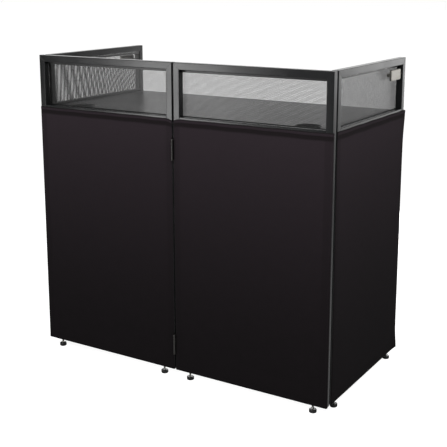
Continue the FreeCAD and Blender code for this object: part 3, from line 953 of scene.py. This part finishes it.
@dataclass
class Cover:
    """The stretched cloth over the lower part of a panel, turned round the tube at its free end.

    Attributes:
        panel: The panel that it covers.
        free_at_start: Whether the free end is where the panel's own X starts.
        flare: How far the loose upper corner at the free end stands off.
        foot_flare: How far the lower corner there stands off.
        corner_drop: How far the upper corner at the hinge end is pulled down.
        cloth: The cloth's thickness.
        stand: How far the cloth's middle stands off the tube.
        wave: The depth of the tension waves in the open span.
        hem_dip: How far the upper hem dips between the points that hold it.
        hem_span: The distance between those points.
        hem: The height of the doubled hem.
        hem_step: How far the doubled hem stands out.
        fold: The height of the upper hem's fold, painted dark as painted shade.
        rail_shade_reach: How far below the cloth's upper edge it is painted dark, as painted shade over the
            cross rail and painted shadow under it.
        rail_shade_fade: Half the height over which that painted shade's lower edge fades.
        rail_shade: How dark the painted shade over the cross rail is.
        soften: Half the width over which the painted shade over the tubes fades.
        fade: How far from the tubes the tension waves reach their full depth.
        flare_height: How far down the upper corner's flare reaches.
        foot_height: How far up the lower corner's flare reaches.
        flare_width: How far before the corner both flares start.
        flare_share: How far a flare goes out from the panel's face, for each metre along the panel.
        corner_run: How far along the cloth the pulled corner reaches.
        corner_height: How far down it reaches.
        stile_shade: How dark the painted shade is where the tubes lie behind the cloth.
        mesh_step: The distance between the mesh's lines.
        turn_steps: How many strips the cloth has round the free end's corner.
        snap: How near to a line of the mesh a cut uses it.
        ripple: The tension waves' radians for each metre across, and their bend's depth in radians
            and radians for each metre up.
        cross_ripple: A second set of waves: its share of the depth, its radians for each metre
            across and up, and its phase.
    """

    panel: Panel
    free_at_start: bool
    flare: float = 0.0
    foot_flare: float = 0.0
    corner_drop: float = 0.0
    cloth: float = 0.8 * MM
    stand: float = 0.9 * MM
    wave: float = 0.5 * MM
    hem_dip: float = 1.0 * MM
    hem_span: float = 145.0 * MM
    hem: float = 11.0 * MM
    hem_step: float = 0.35 * MM
    fold: float = 3.0 * MM
    rail_shade_reach: float = 23.0 * MM
    rail_shade_fade: float = 6.0 * MM
    rail_shade: float = 0.85
    soften: float = 3.0 * MM
    fade: float = 70.0 * MM
    flare_height: float = 75.0 * MM
    foot_height: float = 48.0 * MM
    flare_width: float = 45.0 * MM
    flare_share: float = 0.7
    corner_run: float = 34.0 * MM
    corner_height: float = 60.0 * MM
    stile_shade: float = 0.25
    mesh_step: float = 11.0 * MM
    turn_steps: int = 4
    snap: float = 0.05 * MM
    ripple: tuple[float, float, float] = (13.0, 3.0, 2.6)
    cross_ripple: tuple[float, float, float, float] = (0.6, 9.0, 5.0, 1.0)

    UV_NAME = "cloth"
    # The vertex attribute that holds the cloth's painted shade
    PAINTED_SHADE_NAME = "painted_shade"

    def __post_init__(self) -> None:
        """Works out the cloth's route round the panel in the panel's own axes."""
        low, high = self.panel.own_box(f"{self.panel.name}_cover")
        rail_low = self.panel.own_box(f"{self.panel.name}_cross_rail")[0]
        self.height = high.z - low.z
        self.rail_height = rail_low.z
        self.way = -1.0 if self.free_at_start else 1.0
        self.start = high.x if self.free_at_start else low.x
        radius = self.panel.edge_radius
        free_end = 0.0 if self.free_at_start else self.panel.width
        self.turn_x = free_end - self.way * radius
        self.turn_radius = radius + self.stand
        self.straight = abs(self.turn_x - self.start)
        self.turn = self.turn_radius * math.pi / 2.0
        self.length = self.straight + self.turn + high.y - radius

    def route(self, run: float) -> tuple[Vector, Vector]:
        """Follows the cloth from its hinge end round the free end.

        Args:
            run: The distance along the cloth.

        Returns:
            The place and the outward direction there, both at the frame's foot.
        """
        radius = self.panel.edge_radius
        if run <= self.straight:
            return Vector((self.start + self.way * run, -self.stand, 0.0)), -Y_AXIS
        angle = min((run - self.straight) / self.turn_radius, math.pi / 2.0)
        out = Vector((self.way * math.sin(angle), -math.cos(angle), 0.0))
        past = max(run - self.straight - self.turn, 0.0)
        return Vector((self.turn_x, radius + past, 0.0)) + out * self.turn_radius, out

    def cut_lines(self) -> list[tuple[Vector, Vector]]:
        """Lists where the cloth's mesh needs edges: round the turn, at the tubes and at the hems.

        Returns:
            A point and a direction across for each line, along the cloth and up.
        """
        tube = self.panel.tube
        far_tube = self.panel.width - tube
        runs = [self.straight + self.turn * step / self.turn_steps for step in range(self.turn_steps + 1)]
        # Columns where the painted shade over the stiles fades
        runs += [abs(x + side * self.soften - self.start) for x in (tube, far_tube) for side in (-1.0, 1.0)]
        # Rows where the painted shade over the bottom rail and under the cross rail fades, then rows at the
        # hems and the fold
        rail_shade_edge = self.height - self.rail_shade_reach
        rises = [z + side * fade for z, fade in ((tube, self.soften), (rail_shade_edge, self.rail_shade_fade))
                 for side in (-1.0, 1.0)]
        rises += [z + side * self.cloth for z in (self.hem, self.height - self.hem, self.height - self.fold)
                  for side in (-1.0, 1.0)]
        return [(X_AXIS * run, X_AXIS) for run in runs] + [(Y_AXIS * rise, Y_AXIS) for rise in rises]

    def painted_shade_at(self, x: float, z: float) -> float:
        """Returns the cloth's painted shade: most at the fold and the cross rail, less over other tubes."""
        tube = self.panel.tube
        depth = self.height - z
        # Painted shade on the fold and over the cross rail with the shadow under it; the doubled hem
        # between them keeps the lighter colour as a painted highlight
        if depth < self.rail_shade_reach:
            return 0.0 if self.fold < depth < self.hem else self.rail_shade
        # Painted shade over the stiles and the bottom rail
        inside = tube < x < self.panel.width - tube and tube < z
        return 0.0 if inside else self.stile_shade

    def strain(self, x: float, z: float) -> float:
        """Works out the tension waves of the open span.

        Args:
            x: The place along the panel.
            z: The height above the frame's foot.

        Returns:
            How far the cloth stands out there.
        """
        tube = self.panel.tube
        inside = min(x - tube, self.panel.width - tube - x, z - tube, self.rail_height - z)
        share = min(max(inside / self.fade, 0.0), 1.0)
        across, bend, up = self.ripple
        depth, cross_across, cross_up, phase = self.cross_ripple
        ripple = math.sin(across * x + bend * math.sin(up * z))
        ripple += depth * math.sin(cross_up * z - cross_across * x + phase)
        # A smooth step from the tubes to the open span
        return self.wave * share * share * (3.0 - 2.0 * share) * ripple

    def settle(self, vert: bmesh.types.BMVert) -> float:
        """Moves a point of the flat cloth to its place on the panel.

        Args:
            vert: The point, which lies flat, with its run and its rise as X and Y.

        Returns:
            How much painted shade the cloth has there.
        """
        run, rise = vert.co.x, vert.co.y
        place, out = self.route(run)
        doubled = rise < self.hem or rise > self.height - self.hem
        stand = self.strain(place.x, rise) + (self.hem_step if doubled else 0.0)
        near_top = math.exp(-((self.height - rise) / self.flare_height) ** 2)
        near_foot = math.exp(-(rise / self.foot_height) ** 2)
        near_end = min(max((run - self.straight) / self.flare_width + 1.0, 0.0), 1.0) ** 2
        loose = (self.flare * near_top + self.foot_flare * near_foot) * near_end
        dip = self.hem_dip * math.sin(math.pi * run / self.hem_span) ** 2 * rise / self.height
        near_hinge = max(1.0 - run / self.corner_run, 0.0) ** 2
        dip += self.corner_drop * near_hinge * math.exp((rise - self.height) / self.corner_height)
        vert.co = place + out * stand + Vector((self.way * loose, -self.flare_share * loose, rise - dip))
        return self.painted_shade_at(place.x, rise)

    def build(self) -> None:
        name = self.panel.name
        bm = bmesh.new()
        size = Matrix.Diagonal((self.length, self.height, 1.0, 1.0))
        bmesh.ops.create_grid(
            bm, x_segments=round(self.length / self.mesh_step),
            y_segments=round(self.height / self.mesh_step), size=0.5,
            matrix=size @ Matrix.Translation((0.5, 0.5, 0.0)))
        for point, across in self.cut_lines():
            bmesh.ops.bisect_plane(bm, geom=everything(bm), dist=self.snap, plane_co=point, plane_no=across)
        flat = bm.loops.layers.uv.new(self.UV_NAME)
        # The painted shade, kept for each point of the cloth
        painted_shade = bm.verts.layers.float.new(self.PAINTED_SHADE_NAME)
        for face in bm.faces:
            for loop in face.loops:
                loop[flat].uv = loop.vert.co.xy
        for vert in bm.verts:
            vert[painted_shade] = self.settle(vert)
        bm.normal_update()
        middle = min(bm.faces, key=lambda face: (face.calc_center_median() - Vector(
            (self.panel.width / 2.0, 0.0, self.height / 2.0))).length)
        if middle.normal.y > 0.0:
            bmesh.ops.reverse_faces(bm, faces=bm.faces[:])
        piece = self.panel.finish_piece("stretched_cover", bm, JERSEY, "cover_cloth", [f"{name}_cover"])
        thicken(piece, self.cloth, 0.0)


@dataclass
class CornerPlate:
    """The bare pressed plate in the upper rear corner of a side window, on a spacer and two rivets.

    Attributes:
        panel: The side panel that carries it.
        depth: How deep the plate's rim is.
        corner_radius: The plate's corner radius.
        corner_steps: How many strips round a corner.
        rim_radius: The rounding of its rim.
        rim_steps: How many strips round it.
        sheet: Its thickness.
        spacer_inset: How far the spacer lies from the plate's ends.
        spacer_height: The spacer's height.
        spacer_steps: How many strips round its edges.
        rivet_inset: How far the rivets sit from the plate's ends.
        rivet_radius: A rivet head's radius.
        rivet_height: How far a rivet head stands out.
    """

    panel: Panel
    depth: float = 7.0 * MM
    corner_radius: float = 5.0 * MM
    corner_steps: int = 6
    rim_radius: float = 1.6 * MM
    rim_steps: int = 4
    sheet: float = 1.0 * MM
    spacer_inset: float = 12.0 * MM
    spacer_height: float = 12.0 * MM
    spacer_steps: int = 2
    rivet_inset: float = 17.0 * MM
    rivet_radius: float = 2.4 * MM
    rivet_height: float = 0.8 * MM

    def build_spacer(self, low: Vector, high: Vector) -> None:
        """Builds the bar between the plate and the grille.

        Args:
            low: The lowest corner of the plate and its spacer.
            high: Their highest corner.
        """
        rise = (high.z - low.z - self.spacer_height) / 2.0
        bm = bmesh.new()
        add_box(bm, low + Vector((self.spacer_inset, self.sheet, rise)),
                high - Vector((self.spacer_inset, 0.0, rise)))
        round_edges(bm, bm.edges[:], self.sheet / 2.0, self.spacer_steps)
        self.panel.finish_piece("plate_spacer", bm, ALUMINIUM, "plate_aluminium")

    def build(self) -> None:
        """Builds the pan, open towards the grille, with its spacer and rivets."""
        node = f"{self.panel.name}_corner_plate"
        low, high = self.panel.own_box(node)
        self.build_spacer(low, high)
        bm = bmesh.new()
        add_box(bm, low, Vector((high.x, low.y + self.depth, high.z)))
        round_edges(bm, [edge for edge in bm.edges if along(edge, Y_AXIS)], self.corner_radius,
                    self.corner_steps)
        bm.normal_update()
        bmesh.ops.delete(bm, geom=[face for face in bm.faces if face.normal.y > FACING_COSINE],
                         context="FACES_ONLY")
        front = next(face for face in bm.faces if face.normal.y < -FACING_COSINE)
        round_edges(bm, front.edges[:], self.rim_radius, self.rim_steps)
        pan = self.panel.finish_piece("pressed_plate", bm, ALUMINIUM, "plate_aluminium", [node])
        thicken(pan, self.sheet, -1.0)
        even_normals(pan)
        rivets = bmesh.new()
        for x in (low.x + self.rivet_inset, high.x - self.rivet_inset):
            add_dome(rivets, Vector((x, low.y, (low.z + high.z) / 2.0)), -Y_AXIS, self.rivet_radius,
                     self.rivet_height)
        self.panel.finish_piece("plate_rivets", rivets, ZINC, "plate_aluminium")


@dataclass
class Seam:
    """The two lift-off hinges between a pair of panels.

    A seam's own Y axis points into the gap between two tubes, and the low panel has the leaf on
    the negative X side of the gap.

    Attributes:
        name: The seam's name, which starts the names of its nodes.
        turn: The turn from the booth's axes to the seam's own.
        low_panel: The panel with the leaf on the negative side.
        high_panel: The panel with the other leaf.
        gap: The gap between the tubes.
        leaf: A leaf's thickness.
        screw_reach: How far the screws lie from the pin.
        screw_shares: Where they lie along a leaf.
        screw_radius: A screw head's radius.
        screw_height: How far a head stands out.
        cap_radius: The radius of a pin's riveted end.
        cap_height: How far a pin's end stands out.
        hinge_length: A hinge's length along its pin.
    """

    name: str
    turn: float
    low_panel: str
    high_panel: str
    gap: float = 8.0 * MM
    leaf: float = 2.0 * MM
    screw_reach: float = 16.0 * MM
    screw_shares: tuple[float, ...] = (0.16, 0.5, 0.84)
    screw_radius: float = 3.2 * MM
    screw_height: float = 0.35 * MM
    cap_radius: float = 4.0 * MM
    cap_height: float = 1.2 * MM
    hinge_length: float = 75.0 * MM

    def __post_init__(self) -> None:
        """Finds the pin's line and the hinges' heights from the pins."""
        low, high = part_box(f"{self.name}_hinge_pins")
        middle = (low + high) / 2.0
        self.matrix = (Matrix.Translation((middle.x, middle.y, 0.0))
                       @ Matrix.Rotation(self.turn, 4, "Z"))
        self.levels = (low.z, high.z - self.hinge_length)

    def build(self) -> None:
        """Dresses the leaves and pins, and adds their screws and the pins' riveted ends."""
        pins = f"{self.name}_hinge_pins"
        dress_node(pins, BLACK_ZINC)
        leaf_face = self.gap / 2.0 - self.leaf
        for panel, side in ((self.low_panel, -1.0), (self.high_panel, 1.0)):
            dress_node(f"{self.name}_hinge_{panel}_leaves", BLACK_ZINC)
            bm = bmesh.new()
            for level in self.levels:
                for share in self.screw_shares:
                    seat = Vector((side * leaf_face, self.screw_reach, level + self.hinge_length * share))
                    add_screw(bm, seat, -side * X_AXIS, self.screw_radius, self.screw_height)
            bm.transform(self.matrix)
            make_piece(f"{self.name}_hinge_{panel}_screws", bm, [ZINC], panel)
        caps = bmesh.new()
        for level in self.levels:
            add_dome(caps, Z_AXIS * level, -Z_AXIS, self.cap_radius, self.cap_height)
            add_dome(caps, Z_AXIS * (level + self.hinge_length), Z_AXIS, self.cap_radius, self.cap_height)
        caps.transform(self.matrix)
        make_piece(f"{self.name}_hinge_pin_caps", caps, [BLACK_ZINC], body_of(pins))


@dataclass
class Table:
    """The lift-off board and its two cable grommets.

    Attributes:
        edge_radius: The rounding of the board's edges.
        edge_steps: How many strips round them.
        flat_angle: The angle in degrees below which faces of the board are one.
        rim_reach: How near to the board's outline a point is on its edge.
        band_tilt: How far up or down a face of the edge band may look, as a cosine.
        bore: The grommets' bore radius.
        sleeve: The radius of their sleeves.
        flange: The thickness of their flanges, which stand in a step of the board.
        crown: The rounding of the flanges.
        crown_steps: How many strips round them.
        steps: How many sides a grommet has.
    """

    edge_radius: float = 1.0 * MM
    edge_steps: int = 3
    flat_angle: float = 1.0
    rim_reach: float = 0.1 * MM
    band_tilt: float = 0.3
    bore: float = 37.0 * MM
    sleeve: float = 39.5 * MM
    flange: float = 5.0 * MM
    crown: float = 1.8 * MM
    crown_steps: int = 5
    steps: int = 72

    def build_board(self) -> None:
        """Builds the board with rounded, banded edges from a merged copy of its node."""
        node = "table_board"
        low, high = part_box(node)
        bm = bmesh.new()
        bm.from_mesh(frame["nodes"][node].data)
        bmesh.ops.remove_doubles(bm, verts=bm.verts[:], dist=MERGE_DISTANCE)
        bmesh.ops.dissolve_limit(
            bm, angle_limit=math.radians(self.flat_angle), verts=bm.verts[:], edges=bm.edges[:],
            use_dissolve_boundaries=False)
        rim = [edge for edge in bm.edges if all(self.on_rim(vert.co, low, high) for vert in edge.verts)]
        rim = [edge for edge in rim if edge.calc_face_angle(0.0) > RIM_ANGLE]
        round_edges(bm, rim, self.edge_radius, self.edge_steps)
        bm.normal_update()
        for face in bm.faces:
            middle = face.calc_center_median()
            banded = self.on_rim(middle, low, high) and abs(face.normal.z) < self.band_tilt
            face.material_index = 1 if banded else 0
        even_normals(make_piece(
            "laminated_board", bm, [MELAMINE, EDGE_BAND], body_of(node), [node]))

    def on_rim(self, point: Vector, low: Vector, high: Vector) -> bool:
        """Returns whether a point lies on the board's outer edge."""
        reach = (point.x - low.x, high.x - point.x, point.y - low.y, high.y - point.y)
        return min(reach) < self.rim_reach

    def build_grommets(self) -> None:
        """Builds both grommets by turning their outline."""
        node = "table_grommets"
        low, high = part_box(node)
        reach = (high.y - low.y) / 2.0
        bm = bmesh.new()
        for x in (low.x + reach, high.x - reach):
            middle = Vector((x, (low.y + high.y) / 2.0, 0.0))
            outline = (
                (self.bore, low.z), (self.sleeve, low.z), (self.sleeve, high.z - self.flange),
                (reach, high.z - self.flange), (reach, high.z), (self.bore, high.z))
            verts = [bm.verts.new(middle + Vector((radius, 0.0, z))) for radius, z in outline]
            edges = [bm.edges.new(pair) for pair in zip(verts, verts[1:] + verts[:1])]
            bmesh.ops.spin(
                bm, geom=verts + edges, cent=middle, axis=Z_AXIS, angle=math.tau, steps=self.steps,
                use_merge=True)
        bmesh.ops.recalc_face_normals(bm, faces=bm.faces[:])
        sharp = [edge for edge in bm.edges if edge.calc_face_angle(0.0) > RIM_ANGLE]
        rims = [edge for edge in sharp if all(vert.co.z > high.z - self.crown for vert in edge.verts)]
        round_edges(bm, rims, self.crown, self.crown_steps)
        even_normals(make_piece(
            "grommet_rings", bm, [GROMMET_ABS], body_of(node), [node]))

    def build(self) -> None:
        """Builds the board and the grommets."""
        self.build_board()
        self.build_grommets()


@dataclass(frozen=True)
class Softbox:
    """A rectangular lamp with a cloth front.

    Attributes:
        name: The lamp's name.
        place: Where it stands.
        aim: What it points at.
        width: Its width.
        height: Its height.
        power: Its power in watts.
    """

    name: str
    place: Vector
    aim: Vector
    width: float
    height: float
    power: float

    def build(self) -> None:
        """Adds the lamp to the scene."""
        lamp = bpy.data.lights.new(self.name, "AREA")
        lamp.shape = "RECTANGLE"
        lamp.size = self.width
        lamp.size_y = self.height
        lamp.energy = self.power
        holder = bpy.data.objects.new(self.name, lamp)
        holder.location = self.place
        holder.rotation_euler = (self.aim - self.place).to_track_quat("-Z", "Y").to_euler()
        bpy.context.scene.collection.objects.link(holder)


@dataclass
class Studio:
    """A white room: a pale floor, even room light and five softboxes.

    Attributes:
        floor_reach: The floor's half width.
        floor_colour: The floor's paint.
        floor_roughness: How rough that paint is.
        floor_white: How much white the floor adds where it is looked at.
        floor_front: Where the floor's white ends in reflections, in front of the booth.
        floor_rear: Where it is full in reflections.
        floor_slant: How far the white's right border leans to the right, for each metre to the rear.
        floor_border: How wide that border is.
        room_light: The room's strength as a light on rough surfaces.
        room_dim: Its strength in reflections that come from behind the camera.
        room_turn: Over which part of the way to the rear the room's reflection grows, as cosines.
        room_right: Over which part of the way to the right it fades, as cosines.
        softboxes: The lamps.
    """

    floor_reach: float = 40.0
    floor_colour: str = "#b4b4b4"
    floor_roughness: float = 0.9
    floor_white: float = 0.87
    floor_front: float = -0.3
    floor_rear: float = 1.0
    floor_slant: float = 0.65
    floor_border: float = 0.6
    room_light: float = 0.3
    room_dim: float = 0.12
    room_turn: tuple[float, float] = (-0.3, 0.3)
    room_right: tuple[float, float] = (0.55, 0.62)
    softboxes: tuple[Softbox, ...] = (
        Softbox("front_softbox", Vector((0.5, -3.2, 3.6)), Vector((0.0, 0.0, 0.6)), 2.0, 1.5, 110.0),
        Softbox("left_softbox", Vector((-2.2, -3.55, 0.85)), Vector((0.0, -0.3, 1.0)), 0.7, 2.0, 29.5),
        Softbox("right_softbox", Vector((1.7, -0.35, 2.45)), Vector((0.6, 0.0, 0.8)), 1.0, 1.0, 34.0),
        Softbox("rear_softbox", Vector((3.7, 8.5, 0.95)), Vector((0.6, 0.0, 1.0)), 2.2, 1.9, 17.0),
        Softbox("inside_softbox", Vector((-0.6, 2.4, 0.45)), Vector((-0.2, 0.0, 0.5)), 2.4, 0.8, 52.0),
    )

    @staticmethod
    def white(tree: Tree, plain: float, straight: float, mirrored: Socket) -> Socket:
        """Adds the strength of a white surface by how it is looked at.

        Args:
            tree: The node tree that takes the nodes.
            plain: The strength as a light on rough surfaces.
            straight: The strength when looked at straight or through glass.
            mirrored: The strength in reflections.

        Returns:
            The strength's socket.
        """
        rays = add_node(tree, "ShaderNodeLightPath").outputs
        looked = add_node(tree, "ShaderNodeMath", {
            0: rays["Is Camera Ray"], 1: rays["Is Transmission Ray"]}, operation="MAXIMUM")
        direct = add_node(tree, "ShaderNodeMath", {
            0: looked.outputs["Value"], 1: straight - plain, 2: plain}, operation="MULTIPLY_ADD")
        strength = add_node(tree, "ShaderNodeMix", {
            "Factor": rays["Is Glossy Ray"], MIX_LOW: direct.outputs["Value"], MIX_HIGH: mirrored})
        return strength.outputs[MIX_VALUE]

    def build_floor(self) -> None:
        """Builds the floor, white where it is looked at and with the booth's shadow."""
        material = bpy.data.materials.new("pale_studio_floor")
        material.use_nodes = True
        tree = material.node_tree
        shader = tree.nodes["Principled BSDF"]
        shader.inputs["Base Color"].default_value = linear(self.floor_colour)
        shader.inputs["Roughness"].default_value = self.floor_roughness
        shader.inputs["Emission Color"].default_value = WHITE
        place = add_node(tree, "ShaderNodeTexCoord").outputs["Object"]
        axes = add_node(tree, "ShaderNodeSeparateXYZ", {0: place}).outputs
        rear = spread(tree, axes["Y"], (self.floor_front, self.floor_rear), 0.0, self.floor_white)
        right = add_node(tree, "ShaderNodeMath", {
            0: axes["Y"], 1: -self.floor_slant, 2: axes["X"]}, operation="MULTIPLY_ADD")
        mirrored = spread(tree, right.outputs["Value"], (-self.floor_border, 0.0), rear, 0.0)
        glow = self.white(tree, 0.0, self.floor_white, mirrored)
        tree.links.new(glow, shader.inputs["Emission Strength"])
        bm = bmesh.new()
        bmesh.ops.create_grid(bm, x_segments=1, y_segments=1, size=self.floor_reach)
        mesh = bpy.data.meshes.new("studio_floor")
        bm.to_mesh(mesh)
        bm.free()
        mesh.materials.append(material)
        floor = bpy.data.objects.new("studio_floor", mesh)
        bpy.context.scene.collection.objects.link(floor)

    def build_room(self) -> None:
        """Builds the room's light: white to look at, even on the booth, mirrored only from the rear."""
        world = bpy.data.worlds.new("white_room")
        bpy.context.scene.world = world
        world.use_nodes = True
        tree = world.node_tree
        way = add_node(tree, "ShaderNodeTexCoord").outputs["Generated"]
        axes = add_node(tree, "ShaderNodeSeparateXYZ", {0: way}).outputs
        behind = spread(tree, axes["Y"], self.room_turn, self.room_dim, 1.0)
        mirrored = spread(tree, axes["X"], self.room_right, behind, self.room_dim)
        background = tree.nodes["Background"]
        background.inputs["Color"].default_value = WHITE
        strength = self.white(tree, self.room_light, 1.0, mirrored)
        tree.links.new(strength, background.inputs["Strength"])

    def build(self) -> None:
        """Builds the floor, the room and the lamps."""
        self.build_floor()
        self.build_room()
        for softbox in self.softboxes:
            softbox.build()
        bpy.context.scene.view_settings.view_transform = "Standard"


@dataclass
class Viewpoint:
    """The camera at the photograph's viewing angle.

    Attributes:
        place: Where the camera stands.
        azimuth: How far it stands round to the right of the booth's front, in degrees.
        elevation: How far it looks down, in degrees.
        lens: Its focal length in millimetres.
        sensor: Its sensor's width in millimetres.
        shift: How far the frame is moved down, as a share of its width.
    """

    place: Vector
    azimuth: float
    elevation: float
    lens: float
    sensor: float
    shift: float

    def build(self) -> None:
        """Adds the camera and makes it the scene's own."""
        data = bpy.data.cameras.new("viewpoint")
        data.lens = self.lens
        data.sensor_width = self.sensor
        data.shift_y = -self.shift
        camera = bpy.data.objects.new("viewpoint", data)
        camera.location = self.place
        camera.rotation_euler = (math.radians(90.0 - self.elevation), 0.0, math.radians(self.azimuth))
        bpy.context.scene.collection.objects.link(camera)
        bpy.context.scene.camera = camera


def main() -> None:
    """Builds the booth, the studio and the camera."""
    logging.basicConfig(level=logging.INFO, format="%(name)s: %(message)s")
    panels = {
        "front_left": Panel("front_left", Standing.FRONT),
        "front_right": Panel("front_right", Standing.FRONT),
        "side_left": Panel("side_left", Standing.LEFT),
        "side_right": Panel("side_right", Standing.RIGHT),
    }
    for panel in panels.values():
        panel.build()
    Cover(panels["front_left"], free_at_start=True, corner_drop=8.0 * MM).build()
    Cover(panels["front_right"], free_at_start=False, corner_drop=6.0 * MM).build()
    Cover(panels["side_left"], free_at_start=True, flare=3.0 * MM, foot_flare=2.5 * MM).build()
    Cover(panels["side_right"], free_at_start=False, flare=4.5 * MM, foot_flare=4.5 * MM).build()
    for name in ("side_left", "side_right"):
        CornerPlate(panels[name]).build()
    for seam in (
        Seam("centre", 0.0, "front_left", "front_right", gap=5.0 * MM),
        Seam("right", -math.pi / 2.0, "side_right", "front_right"),
        Seam("left", math.pi / 2.0, "front_left", "side_left"),
    ):
        seam.build()
    Table().build()
    Studio().build()
    Viewpoint(
        place=Vector((1.7633, -2.8449, 1.4134)), azimuth=31.516, elevation=11.79, lens=73.4, sensor=36.0,
        shift=0.12).build()


if __name__ == "__main__":
    main()
